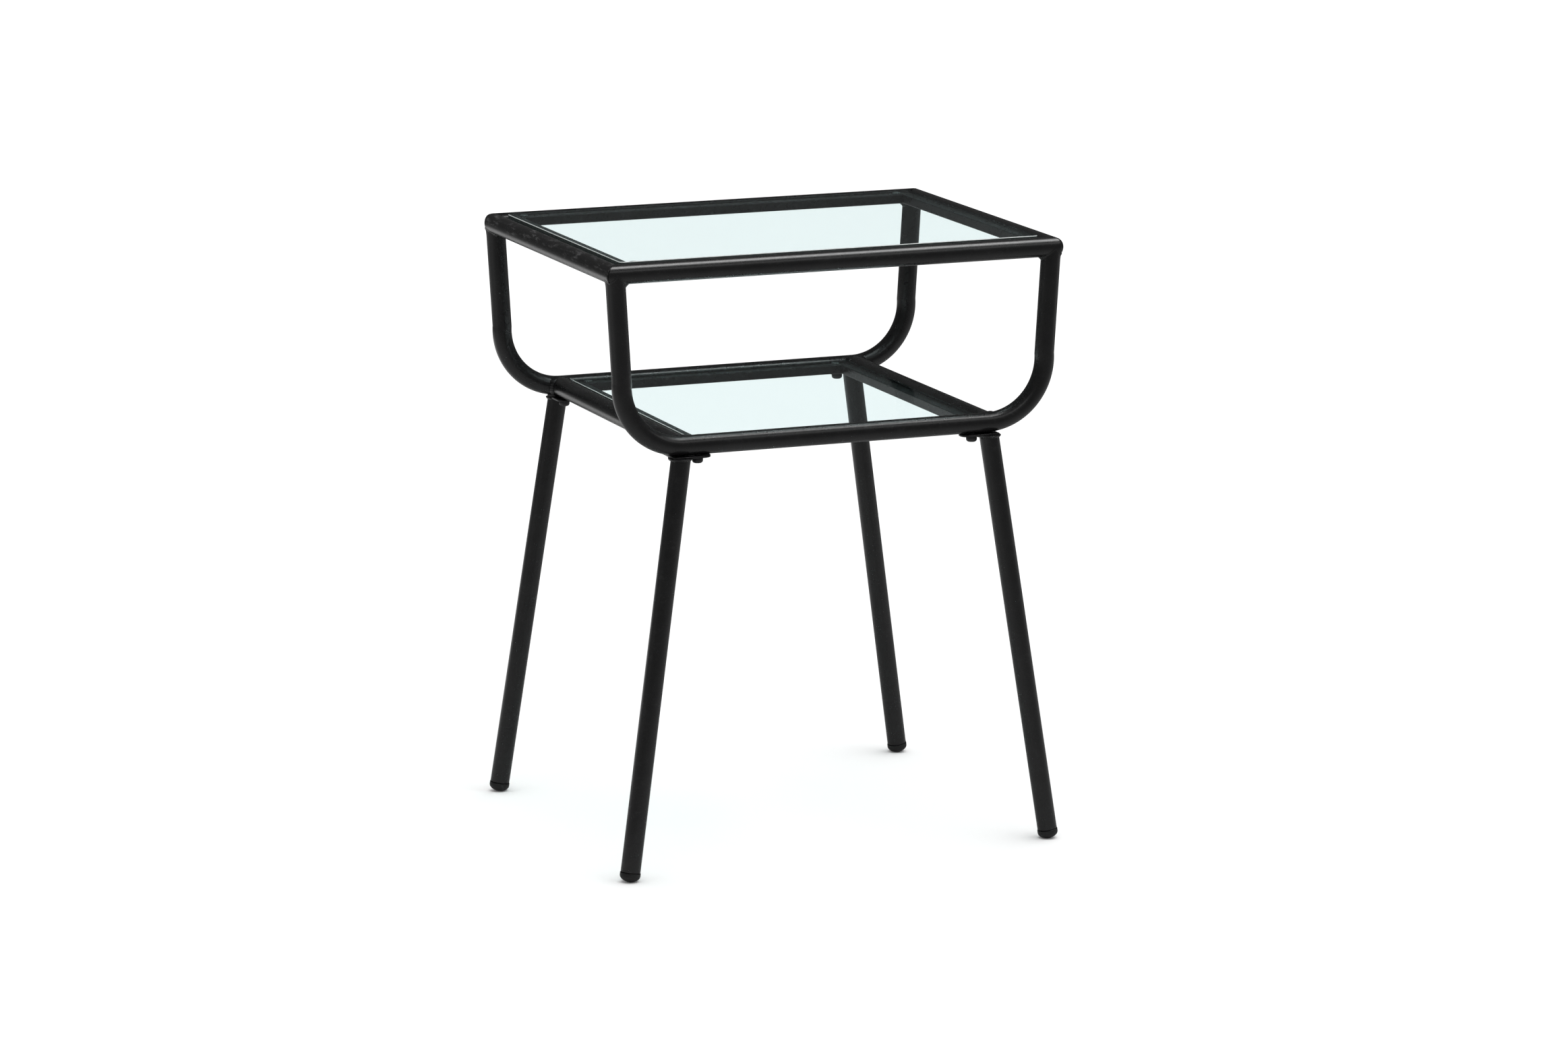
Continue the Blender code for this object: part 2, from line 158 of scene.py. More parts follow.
# Painted light: how bright the floor is where the paint reflects it: where along Y, and the shade
# there
FLOOR_IN_GLOSS = [(-3.0, 0.09), (-1.2, 0.18), (-0.2, 0.35), (0.6, 0.26), (1.9, 0.10)]
# The centre, radius and shade of a painted pool of light on it
FLOOR_SPOT = (-0.75, 1.45)
FLOOR_SPOT_R = 1.9
FLOOR_SPOT_SHADE = 0.85

# Plates, bolts, pads and glass. A bolt's heights are measured down from the underside of its plate.
PLATE_HALF_WIDTH = 0.009
PLATE_ARM = 0.030
PLATE_CORNER_R = 0.003
PLATE_END_R = 0.0085
PLATE_NOTCH_R = 0.004
PLATE_BEVEL = 0.00035
PLATE_GAP = 0.0003
PLATE_HOLE_R = 0.0034
OUTLINE_STEPS = 10
BOLT_END_R = 0.0025
BOLT_R = 0.0029
BOLT_CHAMFER = 0.0004
WASHER_R = 0.0046
WASHER_EDGE = 0.0002
HEAD_TOP = 0.0010
HEAD_RIM = 0.0004
HEAD_WALL = 0.0026
HEAD_CROWN = 0.0028
HEAD_FLAT_R = 0.0030
HEAD_STEPS = 6
SOCKET_HALF_WIDTH = 0.00165
SOCKET_LIP = (1.12, 0.0002)
SOCKET_DEPTH = 0.0019
PAD_EDGE_R = 0.0004
GLASS_CORNER_R = 0.004
GLASS_ARRIS = 0.0006
GLASS_IOR = 1.5


# ---------------------------------------------------------------- materials


def new_tree(name):
    """A material with an empty node tree and its output node."""
    material = bpy.data.materials.new(name)
    material.use_nodes = True
    tree = material.node_tree
    tree.nodes.clear()
    return material, tree, tree.nodes.new("ShaderNodeOutputMaterial")


def node(tree, kind, settings=None, **inputs):
    """A node with its settings, and its input sockets set to a value or linked from a socket."""
    made = tree.nodes.new("ShaderNode" + kind)
    for key, value in (settings or {}).items():
        setattr(made, key, value)
    for key, value in inputs.items():
        socket = made.inputs[int(key[1:]) if key[0] == "_" else key.replace("_", " ")]
        if isinstance(value, bpy.types.NodeSocket):
            tree.links.new(value, socket)
        else:
            socket.default_value = value
    return made


def noise(tree, place, scale, detail, roughness=0.5, distortion=0.0):
    made = node(tree, "TexNoise", None, Vector=place, Scale=scale, Detail=detail)
    made.inputs["Roughness"].default_value = roughness
    made.inputs["Distortion"].default_value = distortion
    return made.outputs[0]


def remap(tree, value, from_low, from_high, to_low, to_high):
    made = node(tree, "MapRange", None, Value=value)
    limits = {"From Min": from_low, "From Max": from_high, "To Min": to_low, "To Max": to_high}
    for key, number in limits.items():
        made.inputs[key].default_value = number
    return made.outputs[0]


def maths(tree, operation, a, b):
    return node(tree, "Math", {"operation": operation}, _0=a, _1=b).outputs[0]


def blend_colour(tree, factor, a, b, blend_type="MIX"):
    """Colour a where the factor is 0 and b where it is 1; each is a colour or a socket."""
    made = node(tree, "Mix", {"data_type": "RGBA", "blend_type": blend_type}, Factor=factor)
    for index, colour in ((6, a), (7, b)):
        if isinstance(colour, bpy.types.NodeSocket):
            tree.links.new(colour, made.inputs[index])
        else:
            made.inputs[index].default_value = (*colour, 1.0)
    return made.outputs[2]


def bump(tree, height, distance):
    return node(tree, "Bump", None, Height=height, Strength=1.0, Distance=distance).outputs[0]


def principled(tree, out, colour, rough, normal=None, **constants):
    """The surface shader, with constants on its own sockets, linked to the material's output."""
    shader = node(tree, "BsdfPrincipled", None, Base_Color=colour, Roughness=rough, **constants)
    if normal is not None:
        tree.links.new(normal, shader.inputs["Normal"])
    tree.links.new(shader.outputs[0], out.inputs[0])


def paint_material(name, smudge, shine=0.5, shine_tint=(1.0, 1.0, 1.0)):
    """Black powder paint: fine orange peel, uneven sheen, and faint scuffs on what faces up."""
    material, tree, out = new_tree(name)
    place = node(tree, "TexCoord").outputs["Object"]
    facing = node(tree, "SeparateXYZ", None, _0=node(tree, "NewGeometry").outputs["Normal"])
    upward = remap(tree, facing.outputs[2], -0.25, 0.45, 0.0, 1.0)
    peel = noise(tree, place, 720.0, 2.0)
    grain = noise(tree, place, 2600.0, 1.0)
    cloud = noise(tree, place, 46.0, 5.0, 0.62, 0.6)
    streak = noise(tree, place, 150.0, 4.0, 0.6, 1.2)
    stretched = node(tree, "Mapping", None, Vector=place, Scale=(1.5, 0.42, 2.2)).outputs[0]
    scuff = noise(tree, stretched, 150.0, 6.0, 0.7, 0.3)
    mark = remap(tree, scuff, 0.52, 0.78, 0.0, 1.0)
    mark = maths(tree, "MULTIPLY", mark, remap(tree, cloud, 0.42, 0.62, 0.15, 1.0))
    mark = maths(tree, "MULTIPLY", mark, upward)
    mark = maths(tree, "MULTIPLY", mark, smudge)
    base = blend_colour(tree, remap(tree, cloud, 0.3, 0.7, 0.0, 1.0), (0.0043, 0.0043, 0.0046),
                        (0.0066, 0.0066, 0.0068))
    colour = blend_colour(tree, mark, base, (0.150, 0.150, 0.152))
    rough = remap(tree, streak, 0.25, 0.75, 0.25, 0.33)
    rough = maths(tree, "ADD", rough, maths(tree, "MULTIPLY", mark, 0.3))
    height = maths(tree, "ADD", peel, maths(tree, "MULTIPLY", grain, 0.5))
    principled(tree, out, colour, rough, bump(tree, height, 0.000020), IOR=1.50,
               Specular_IOR_Level=shine, Specular_Tint=(*shine_tint, 1.0))
    return material


def rubber_material(name):
    """Moulded black plastic of the feet: matt, finely grained, a little dust near the floor."""
    material, tree, out = new_tree(name)
    place = node(tree, "TexCoord").outputs["Object"]
    grain = noise(tree, place, 2400.0, 3.0, 0.6)
    cloud = noise(tree, place, 210.0, 3.0)
    height = node(tree, "SeparateXYZ", None, _0=place).outputs[2]
    low = remap(tree, height, 0.0, 0.006, 1.0, 0.0)
    dust = maths(tree, "MULTIPLY", low, remap(tree, cloud, 0.35, 0.7, 0.0, 0.5))
    colour = blend_colour(tree, dust, (0.0060, 0.0060, 0.0062), (0.020, 0.0195, 0.019))
    rough = remap(tree, grain, 0.3, 0.7, 0.36, 0.50)
    principled(tree, out, colour, rough, bump(tree, grain, 0.000015), IOR=1.46)
    return material


def metal_material(name, dark, pale, metallic, rough_low, rough_high):
    """Plated or blackened steel with fine turning marks and worn, paler patches."""
    material, tree, out = new_tree(name)
    place = node(tree, "TexCoord").outputs["Object"]
    worn = noise(tree, place, 700.0, 4.0, 0.6)
    ring = node(tree, "TexWave", {"wave_type": "RINGS", "rings_direction": "Z"}, Vector=place,
                Scale=1900.0, Distortion=1.5)
    colour = blend_colour(tree, remap(tree, worn, 0.55, 0.8, 0.0, 1.0), dark, pale)
    rough = remap(tree, worn, 0.25, 0.75, rough_low, rough_high)
    principled(tree, out, colour, rough, bump(tree, ring.outputs[1], 0.000004), Metallic=metallic)
    return material


def glass_material(name, tint, gloss_share, haze):
    """Glass that bends and tints what is behind it, lets light through and has a faint uneven film."""
    material, tree, out = new_tree(name)
    place = node(tree, "TexCoord").outputs["Object"]
    film = noise(tree, place, 34.0, 5.0, 0.62)
    rough = remap(tree, film, 0.35, 0.75, 0.0, haze)
    through = node(tree, "BsdfRefraction", {"distribution": "GGX"}, Color=(*tint, 1.0), IOR=GLASS_IOR,
                   Roughness=rough)
    mirror = node(tree, "BsdfAnisotropic", {"distribution": "GGX"}, Color=(1.0, 1.0, 1.0, 1.0),
                  Roughness=rough)
    gloss = node(tree, "Fresnel", None, IOR=GLASS_IOR).outputs[0]
    gloss = maths(tree, "MULTIPLY", gloss, gloss_share)
    body = node(tree, "MixShader", None, _0=gloss, _1=through.outputs[0], _2=mirror.outputs[0])
    clear = node(tree, "BsdfTransparent", None, Color=(0.93, 0.97, 0.96, 1.0))
    shadow = node(tree, "LightPath").outputs["Is Shadow Ray"]
    mixed = node(tree, "MixShader", None, _0=shadow, _1=body.outputs[0], _2=clear.outputs[0])
    tree.links.new(mixed.outputs[0], out.inputs[0])
    return material


def ground_edge_material(name, dark, pale, clarity):
    """The ground edge of a pane: frosted, with fine grinding marks along it."""
    material, tree, out = new_tree(name)
    place = node(tree, "TexCoord").outputs["Object"]
    fine = noise(tree, place, 2600.0, 3.0, 0.6)
    cloud = noise(tree, place, 170.0, 3.0, 0.6)
    colour = blend_colour(tree, remap(tree, cloud, 0.3, 0.7, 0.0, 1.0), dark, pale)
    rough = remap(tree, fine, 0.3, 0.7, 0.42, 0.58)
    principled(tree, out, colour, rough, bump(tree, fine, 0.00001), IOR=GLASS_IOR,
               Transmission_Weight=clarity)
    return material


def pad_material(name):
    """Soft clear plastic of the bumpers under the glass, a little cloudy."""
    material, tree, out = new_tree(name)
    place = node(tree, "TexCoord").outputs["Object"]
    cloud = noise(tree, place, 900.0, 3.0, 0.6)
    colour = blend_colour(tree, cloud, (0.26, 0.28, 0.28), (0.40, 0.42, 0.42))
    rough = remap(tree, cloud, 0.3, 0.7, 0.22, 0.36)
    principled(tree, out, colour, rough, IOR=1.41, Transmission_Weight=0.95)
    return material


def floor_material(name):
    """Plain pale studio floor; where it is mirrored, painted shade makes it dimmer along Y and a
    painted pool of light sits at the back left.
    """
    material, tree, out = new_tree(name)
    place = node(tree, "TexCoord").outputs["Object"]
    cloud = noise(tree, place, 3.0, 2.0)
    pale = blend_colour(tree, cloud, (0.86, 0.86, 0.86), (0.88, 0.88, 0.88))
    direct = node(tree, "BsdfDiffuse", None, Color=pale)
    # Painted light for mirrored rays: a shade ramp along Y plus a painted pool of light
    depth = node(tree, "SeparateXYZ", None, _0=place).outputs[1]
    low, high = FLOOR_IN_GLOSS[0][0], FLOOR_IN_GLOSS[-1][0]
    ramp = node(tree, "ValToRGB", None, _0=remap(tree, depth, low, high, 0.0, 1.0))
    stops = ramp.color_ramp.elements
    for k, (at, shade) in enumerate(FLOOR_IN_GLOSS):
        share = (at - low) / (high - low)
        stop = stops[k] if k < 1 else stops[-1] if at == high else stops.new(share)
        stop.position = share
        stop.color = (shade, shade, shade, 1.0)
    centre = (-FLOOR_SPOT[0] / FLOOR_SPOT_R, -FLOOR_SPOT[1] / FLOOR_SPOT_R, 0.0)
    moved = node(tree, "Mapping", None, Vector=place, Location=centre,
                 Scale=(1 / FLOOR_SPOT_R, 1 / FLOOR_SPOT_R, 1.0))
    spot = node(tree, "TexGradient", {"gradient_type": "QUADRATIC_SPHERE"}, Vector=moved.outputs[0])
    lit = blend_colour(tree, spot.outputs[1], (0.0, 0.0, 0.0), (FLOOR_SPOT_SHADE,) * 3)
    dim = node(tree, "BsdfDiffuse", None, Color=blend_colour(tree, 1.0, ramp.outputs[0], lit, "ADD"))
    path = node(tree, "LightPath")
    # A ray bent by the glass counts as glossy too, so what is seen through glass is taken off
    glossy, through = path.outputs["Is Glossy Ray"], path.outputs["Is Transmission Ray"]
    mirrored = maths(tree, "SUBTRACT", glossy, through)
    mirrored = maths(tree, "MAXIMUM", mirrored, 0.0)
    mixed = node(tree, "MixShader", None, _0=mirrored, _1=direct.outputs[0], _2=dim.outputs[0])
    tree.links.new(mixed.outputs[0], out.inputs[0])
    return material


PAINT = paint_material("black_paint_fine", 0.12)
SMUDGED = paint_material("black_paint_scuffed", 1.05)
LEDGE = paint_material("black_paint_ledge", 0.60, 0.36, (1.0, 0.92, 0.92))
RUBBER = rubber_material("foot_plastic")
BOLT = metal_material("blackened_bolt", (0.020, 0.020, 0.021), (0.055, 0.054, 0.053), 0.35, 0.26, 0.40)
NUT = metal_material("zinc_nut", (0.52, 0.52, 0.53), (0.66, 0.66, 0.65), 1.0, 0.24, 0.40)
GLASS = glass_material("float_glass_clear", (0.918, 0.975, 0.975), 0.25, 0.004)
# The ground edge is coloured near black: painted shade and painted reflection of the dark gap and
# black tube beside it, over its frosted grinding marks
EDGE = ground_edge_material("float_glass_ground_edge_painted_shade", (0.030, 0.042, 0.040), (0.055, 0.070, 0.067),
                            0.25)
ARRIS = ground_edge_material("float_glass_arris", (0.42, 0.46, 0.45), (0.62, 0.66, 0.65), 0.15)
PAD = pad_material("clear_bumper")
FLOOR = floor_material("studio_floor")


# ---------------------------------------------------------------- mesh tools


def make(name, points, faces, material, body, nodes, sharp=SHARP_ANGLE, face_slots=None):
    """A smooth-shaded piece that rides on a body and stands for CAD nodes."""
    mesh = bpy.data.meshes.new(name)
    mesh.from_pydata([tuple(p) for p in points], [], faces)
    materials = material if isinstance(material, list) else [material]
    for each in materials:
        mesh.materials.append(each)
    if face_slots is not None:
        mesh.polygons.foreach_set("material_index", face_slots)
    shape = bmesh.new()
    shape.from_mesh(mesh)
    bmesh.ops.remove_doubles(shape, verts=shape.verts, dist=1e-7)
    bmesh.ops.recalc_face_normals(shape, faces=shape.faces)
    shape.to_mesh(mesh)
    shape.free()
    mesh.shade_smooth()
    mesh.set_sharp_from_angle(angle=sharp)
    obj = bpy.data.objects.new(name, mesh)
    bpy.context.scene.collection.objects.link(obj)
    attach(obj, body)
    if nodes:
        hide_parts(*nodes)


def skin(rings, closed=False):
    """Points and faces over a stack of rings; an open stack gets a fan on each end."""
    rings = np.asarray(rings, float)
    count, sides = rings.shape[:2]
    points = [Vector(p) for p in rings.reshape(-1, 3)]
    faces = []
    for i in range(count if closed else count - 1):
        a, b = i * sides, (i + 1) % count * sides
        for j in range(sides):
            k = (j + 1) % sides
            faces.append((a + j, a + k, b + k, b + j))
    if not closed:
        for start, flip in ((0, False), ((count - 1) * sides, True)):
            points.append(Vector(rings[start // sides].mean(0)))
            hub = len(points) - 1
            for j in range(sides):
                pair = (start + j, start + (j + 1) % sides)
                faces.append((hub, *(pair if flip else pair[::-1])))
    return points, faces


def angles(sides):
    return np.arange(sides) * 2 * math.pi / sides


def turned_rings(profile, sides, place):
    """Rings of a (radius, height) profile turned about Z, then moved to a place."""
    theta = angles(sides)
    return [[tuple(place @ Vector((radius * math.cos(t), radius * math.sin(t), z))) for t in theta]
            for radius, z in profile]


def arc(centre_r, centre_z, radius, start, end, steps, squash=1.0):
    """Points of an arc in a turned profile, from one angle to another in degrees."""
    turns = [math.radians(start + (end - start) * k / steps) for k in range(steps + 1)]
    return [(centre_r + radius * math.cos(t), centre_z + radius * squash * math.sin(t)) for t in turns]


def unit(vectors):
    return vectors / np.maximum(np.linalg.norm(vectors, axis=1), 1e-12)[:, None]


def on_tube(points, centre, along):
    """The nearest points on the wall of a tube through a centre, along a direction."""
    along = np.asarray(along, float) / np.linalg.norm(along)
    offset = points - np.asarray(centre, float)
    axis = np.asarray(centre, float) + (offset @ along)[:, None] * along
    return axis + unit(points - axis) * TUBE_R


def weld(name, joint, out_a, out_b, clear_a, clear_b, wall_a, wall_b, size, fill, seed):
    """A rippled fillet weld round a closed joint between two walls, sunk a little into both.

    out_a and out_b are the walls' outward normals at the joint, and clear_a and clear_b point along
    the walls away from the joint; wall_a and wall_b put points on the walls. size is how far the weld
    reaches along each wall, and fill how full it is.
    """
    along = unit(np.roll(joint, -1, axis=0) - np.roll(joint, 1, axis=0))
    step = np.linalg.norm(np.roll(joint, -1, axis=0) - joint, axis=1)
    at = np.concatenate([[0], np.cumsum(step)[:-1]])
    phase = at / step.sum() * 2 * math.pi
    ripples = round(step.sum() / RIPPLE_PITCH)
    uneven = np.sin(3 * phase + seed) + 0.6 * np.sin(7 * phase + 2.1 * seed)
    reach = (size * (1 + BEAD_WANDER * uneven))[:, None]
    ripple = RIPPLE_DEPTH * size / np.max(size)
    wave = np.abs(np.sin(ripples * phase / 2 + 0.8 * np.sin(4 * phase + seed)))
    away_a = unit(np.cross(along, out_a))
    away_a *= np.sign((away_a * clear_a).sum(axis=1))[:, None]
    away_b = unit(np.cross(along, out_b))
    away_b *= np.sign((away_b * clear_b).sum(axis=1))[:, None]
    on_a = wall_a(joint + away_a * reach)
    on_b = wall_b(joint + away_b * reach)
    proud = unit(out_a + out_b)
    peak = joint + ((on_a + on_b) / 2 - joint) * fill
    rings = []
    for k in range(BEAD_STEPS + 1):
        t = k / BEAD_STEPS
        curve = (1 - t) ** 2 * on_a + 2 * t * (1 - t) * peak + t**2 * on_b
        lift = 4 * t * (1 - t) * ripple * wave - RIPPLE_DEPTH * (2 * t - 1) ** 6
        rings.append(curve + proud * lift[:, None])
    rings.append(on_b - proud * 2 * EMBED)
    rings.append(joint - proud * 3 * EMBED)
    rings.append(on_a - proud * 2 * EMBED)
    stack = np.clip(np.stack(rings, axis=1), np.array(CAD_BOX[0]), np.array(CAD_BOX[1]))
    points, faces = skin(stack, closed=True)
    make(name, points, faces, PAINT, "frame", [], sharp=SHARP_ON_WELDS)


# ---------------------------------------------------------------- tubes


def corner_station(theta, half, distance, groove, corner_r):
    """One ring of a mitred rail, a distance before the mitre: along the rail, outward and up."""
    outward, up = TUBE_R * np.cos(theta), TUBE_R * np.sin(theta)
    rho = corner_r * np.maximum(np.cos(theta), 0) ** CORNER_FADE
    turned = rho * math.pi / 4
    turn = np.where(distance < turned, math.pi / 4 - distance / np.maximum(rho, 1e-9), 0.0)
    straight = np.maximum(distance - turned, 0)
    along = half + outward - rho + rho * np.sin(turn) - straight
    out = outward - rho + rho * np.cos(turn)
    along = along - groove * np.sin(turn) * np.cos(theta)
    out = out - groove * np.cos(turn) * np.cos(theta)
    return np.stack([along, out, up - groove * np.sin(theta)], axis=1)


def top_rails():
    """The four rails of the top frame, with corners ground round and a fine seam at each mitre."""
    theta = angles(TUBE_SIDES)
    steps = [CORNER_REACH * (k / CORNER_RINGS) ** CORNER_CROWDING for k in range(CORNER_RINGS + 1)]
    rails = [(name, TOP_HALF_WIDTH, (1, 0), (0, sign), HALF_DEPTH) for name, sign in ENDS.items()]
    rails += [(name, HALF_DEPTH, (0, 1), (sign, 0), TOP_HALF_WIDTH) for name, sign in SIDES.items()]
    for name, half, run, out, offset in rails:
        stacks = []
        for other, sign in (SIDES if name in ENDS else ENDS).items():
            corner = f"{name}_{other}" if name in ENDS else f"{other}_{name}"
            stack = []
            for d in steps:
                groove = SEAM_DEPTH * math.exp(-((d / SEAM_WIDTH) ** 2))
                ring = corner_station(theta, half, d, groove, CORNER_R[corner])
                stack.append(ring * np.array([sign, 1, 1]))
            stacks.append(stack)
        body = []
        reach = half - CORNER_REACH - 2 * TUBE_R
        for share in np.linspace(-1, 1, BODY_RINGS):
            along = np.full(theta.shape, reach * share)
            body.append(np.stack([along, TUBE_R * np.cos(theta), TUBE_R * np.sin(theta)], axis=1))
        rings = []
        for ring in stacks[0] + body + stacks[1][::-1]:
            x = ring[:, 0] * run[0] + (offset + ring[:, 1]) * out[0]
            y = ring[:, 0] * run[1] + (offset + ring[:, 1]) * out[1]
            rings.append(np.stack([x, y, TOP_Z + ring[:, 2]], axis=1))
        points, faces = skin(rings)
        material = SMUDGED if name == "left" else PAINT
        make(f"top_rail_{name}_tube", points, faces, material, "frame", [f"top_rail_{name}"])


def arm_joint_height(a, b):
    """How high an arm's wall reaches under a mitred corner, from outward offsets a and b."""
    most = np.clip(np.maximum(a, b), -TUBE_R, TUBE_R)
    return TOP_Z - np.sqrt(TUBE_R**2 - most**2)


def bent_frames():
    """The front and back bent tubes, coped under the top corners, and the welds round their tops."""
    theta = angles(TUBE_SIDES)
    half = []
    for k in range(BEND_RINGS + 1):
        angle = BEND_ANGLE * k / BEND_RINGS
        centre = np.array([BEND_X + BEND_R * math.sin(angle), BEND_Z - BEND_R * math.cos(angle)])
        out = np.array([math.sin(angle), -math.cos(angle)])
        half.append((centre, out))
    start, out = half[-1]
    for k in range(1, ARM_RINGS + 1):
        up_by = (TOP_Z - TUBE_R * ARM_STOP - start[1]) * k / ARM_RINGS
        half.append((start + np.array([ARM_LEAN, 1.0]) * up_by, out))
    for end, sy in ENDS.items():
        y0 = sy * HALF_DEPTH
        rings = []
        for sx, chain in ((-1, reversed(half)), (1, half)):
            for centre, out in chain:
                x = sx * (centre[0] + TUBE_R * np.cos(theta) * out[0])
                z = centre[1] + TUBE_R * np.cos(theta) * out[1]
                rings.append(np.stack([x, y0 + TUBE_R * np.sin(theta), z], axis=1))
        x, y, z = arm_joint(theta, sy)
        tips = [np.stack([sx * (x + ARM_LEAN * EMBED), y0 + y, z + EMBED], axis=1) for sx in (-1, 1)]
        rings = [tips[0], *rings, tips[1]]
        points, faces = skin(rings)
        make(f"u_frame_{end}_tube", points, faces, PAINT, "frame", [f"u_frame_{end}"])
        for side, sx in SIDES.items():
            arm_weld(end, side, sx, sy)


def arm_joint(theta, sy):
    """Where an arm's wall meets the top frame, for the right-hand arm: x, y from its rail, and z."""
    lean = math.atan(ARM_LEAN)
    y = TUBE_R * np.sin(theta)
    across = TUBE_R * np.cos(theta) / math.cos(lean)
    z = np.full(theta.shape, TOP_Z - TUBE_R)
    for _ in range(JOINT_PASSES):
        x = ARM_TOP_X - ARM_LEAN * (TOP_Z - z) + across
        z = arm_joint_height(x - TOP_HALF_WIDTH, sy * y)
    return x, y, z


def arm_weld(end, side, sx, sy):
    theta = angles(WELD_POINTS)
    x, y, z = arm_joint(theta, sy)
    joint = np.stack([sx * x, sy * HALF_DEPTH + y, z], axis=1)
    a, b = x - TOP_HALF_WIDTH, sy * y
    lean = math.atan(ARM_LEAN)
    none = np.zeros(theta.shape)
    arm_out = np.stack([sx * np.cos(theta) * math.cos(lean), np.sin(theta),
                        -np.cos(theta) * math.sin(lean)], axis=1)
    on_side = a > b
    rail_out = unit(np.stack([np.where(on_side, sx * a, none), np.where(on_side, none, sy * b),
                              z - TOP_Z], axis=1))
    down = np.tile([0.0, 0.0, -1.0], (WELD_POINTS, 1))
    spread = np.stack([sx * np.cos(theta), np.sin(theta), none + WELD_LEAN], axis=1)

    def on_arm(points):
        centre = (sx * ARM_TOP_X, sy * HALF_DEPTH, TOP_Z)
        return on_tube(points, centre, (sx * ARM_LEAN, 0, 1))

    def on_rails(points):
        long = on_tube(points, (0, sy * HALF_DEPTH, TOP_Z), (1, 0, 0))
        cross = on_tube(points, (sx * TOP_HALF_WIDTH, 0, TOP_Z), (0, 1, 0))
        past_x = (points[:, 0] * sx - TOP_HALF_WIDTH)[:, None]
        past_y = (points[:, 1] * sy - HALF_DEPTH)[:, None]
        return np.where(past_x > past_y, cross, long)

    # The weld all but fades where the arm's wall runs straight on into the rails' outer walls
    outness = np.clip(np.maximum(np.cos(theta), sy * np.sin(theta)) * ARM_WELD_TURN, 0, 1)
    size = ARM_WELD * (1 - (1 - ARM_WELD_OUTER) * outness**2)
    weld(f"weld_top_{end}_{side}", joint, arm_out, rail_out, down, spread, on_arm, on_rails,
         size, WELD_FILL, WELD_SEEDS["top"] + sx + 2 * sy)


def bent_axis_height(x):
    """Height of a bent frame's axis along its flat part and the start of its bend."""
    past = np.clip(np.abs(x) - BEND_X, 0, BEND_R)
    return BEND_Z - np.sqrt(BEND_R**2 - past**2)


def shelf_rails():
    """Left and right shelf tubes, coped between the bent frames, with a weld at each joint."""
    theta = angles(TUBE_SIDES)
    for side, sx in SIDES.items():
        x, joint, z, _ = shelf_joint(theta, sx)
        rings = []
        for share in np.linspace(1, -1, SHELF_RINGS):
            rings.append(np.stack([x, (joint + EMBED) * share, z], axis=1))
        points, faces = skin(rings)
        make(f"shelf_rail_{side}_tube", points, faces, PAINT, "frame", [f"shelf_rail_{side}"])
        for end, sy in ENDS.items():
            shelf_weld(end, side, sx, sy)


def shelf_joint(theta, sx):
    """Where a shelf rail's wall meets the back bent frame: x, y and z, and the rise above its axis."""
    x = sx * (SHELF_HALF_WIDTH + TUBE_R * np.cos(theta))
    z = SHELF_Z + TUBE_R * np.sin(theta)
    rise = np.clip(z - bent_axis_height(x), -TUBE_R, TUBE_R)
    return x, HALF_DEPTH - np.sqrt(TUBE_R**2 - rise**2), z, rise


def shelf_weld(end, side, sx, sy):
    theta = angles(WELD_POINTS)
    x, y, z, rise = shelf_joint(theta, sx)
    joint = np.stack([x, sy * y, z], axis=1)
    none = np.zeros(theta.shape)
    rail_out = np.stack([sx * np.cos(theta), none, np.sin(theta)], axis=1)
    bent_out = unit(np.stack([none, sy * (y - HALF_DEPTH), rise], axis=1))
    inward = np.tile([0.0, -sy, 0.0], (WELD_POINTS, 1))
    spread = rail_out + np.array([0.0, sy * WELD_LEAN, 0.0])

    def on_rail(points):
        return on_tube(points, (sx * SHELF_HALF_WIDTH, 0, SHELF_Z), (0, 1, 0))

    def on_bent(points):
        axis = np.stack([points[:, 0], none + sy * HALF_DEPTH, bent_axis_height(points[:, 0])], axis=1)
        return axis + unit((points - axis) * np.array([0.0, 1.0, 1.0])) * TUBE_R

    weld(f"weld_shelf_{end}_{side}", joint, rail_out, bent_out, inward, spread, on_rail, on_bent,
         SHELF_WELD, SHELF_WELD_FILL, WELD_SEEDS["shelf"] + sx + 2 * sy)


def legs_and_feet():
    """Splayed legs cut level under their plates, with a weld at the top and a plug at the bottom."""
    theta = angles(TUBE_SIDES)
    for side, sx in SIDES.items():
        for end, sy in ENDS.items():
            sole = Vector((sx * LEG_FOOT[0], sy * LEG_FOOT[1], 0))
            top = Vector((sx * LEG_TOP[0], sy * LEG_TOP[1], LEG_TOP_Z))
            up = (top - sole).normalized()
            tilt = math.acos(up.z)
            reach = math.hypot(FOOT_R * math.sin(tilt), FOOT_DOME * math.cos(tilt))
            dome = sole + up * (reach - FOOT_FLAT_DEPTH) / up.z
            turn = up.to_track_quat("Z", "Y").to_matrix().to_4x4()
            place = Matrix.Translation(dome) @ turn
            low = dome + up * (FOOT_COLLAR + FOOT_SEAM)
            across = np.array([turn.to_3x3() @ Vector((math.cos(t), math.sin(t), 0)) for t in theta])
            rings = []
            for k in range(LIP_RINGS + 1):
                a = math.pi / 2 * k / LIP_RINGS
                centre = np.array(low + up * LEG_LIP * (1 - math.cos(a)))
                rings.append(centre + across * (TUBE_R - LEG_LIP * (1 - math.sin(a))))
            start = rings[-1]
            level = (LEG_TOP_Z - start[:, 2]) / up.z
            for k in range(1, LEG_RINGS + 1):
                rings.append(start + np.array(up) * (level * k / LEG_RINGS)[:, None])
            points, faces = skin(rings)
            make(f"leg_{end}_{side}_tube", points, faces, PAINT, "frame", [f"leg_{end}_{side}"])
            leg_weld(f"{end}_{side}", sole, up, WELD_SEEDS["leg"] + sx + 2 * sy)
            foot(f"{end}_{side}", place)


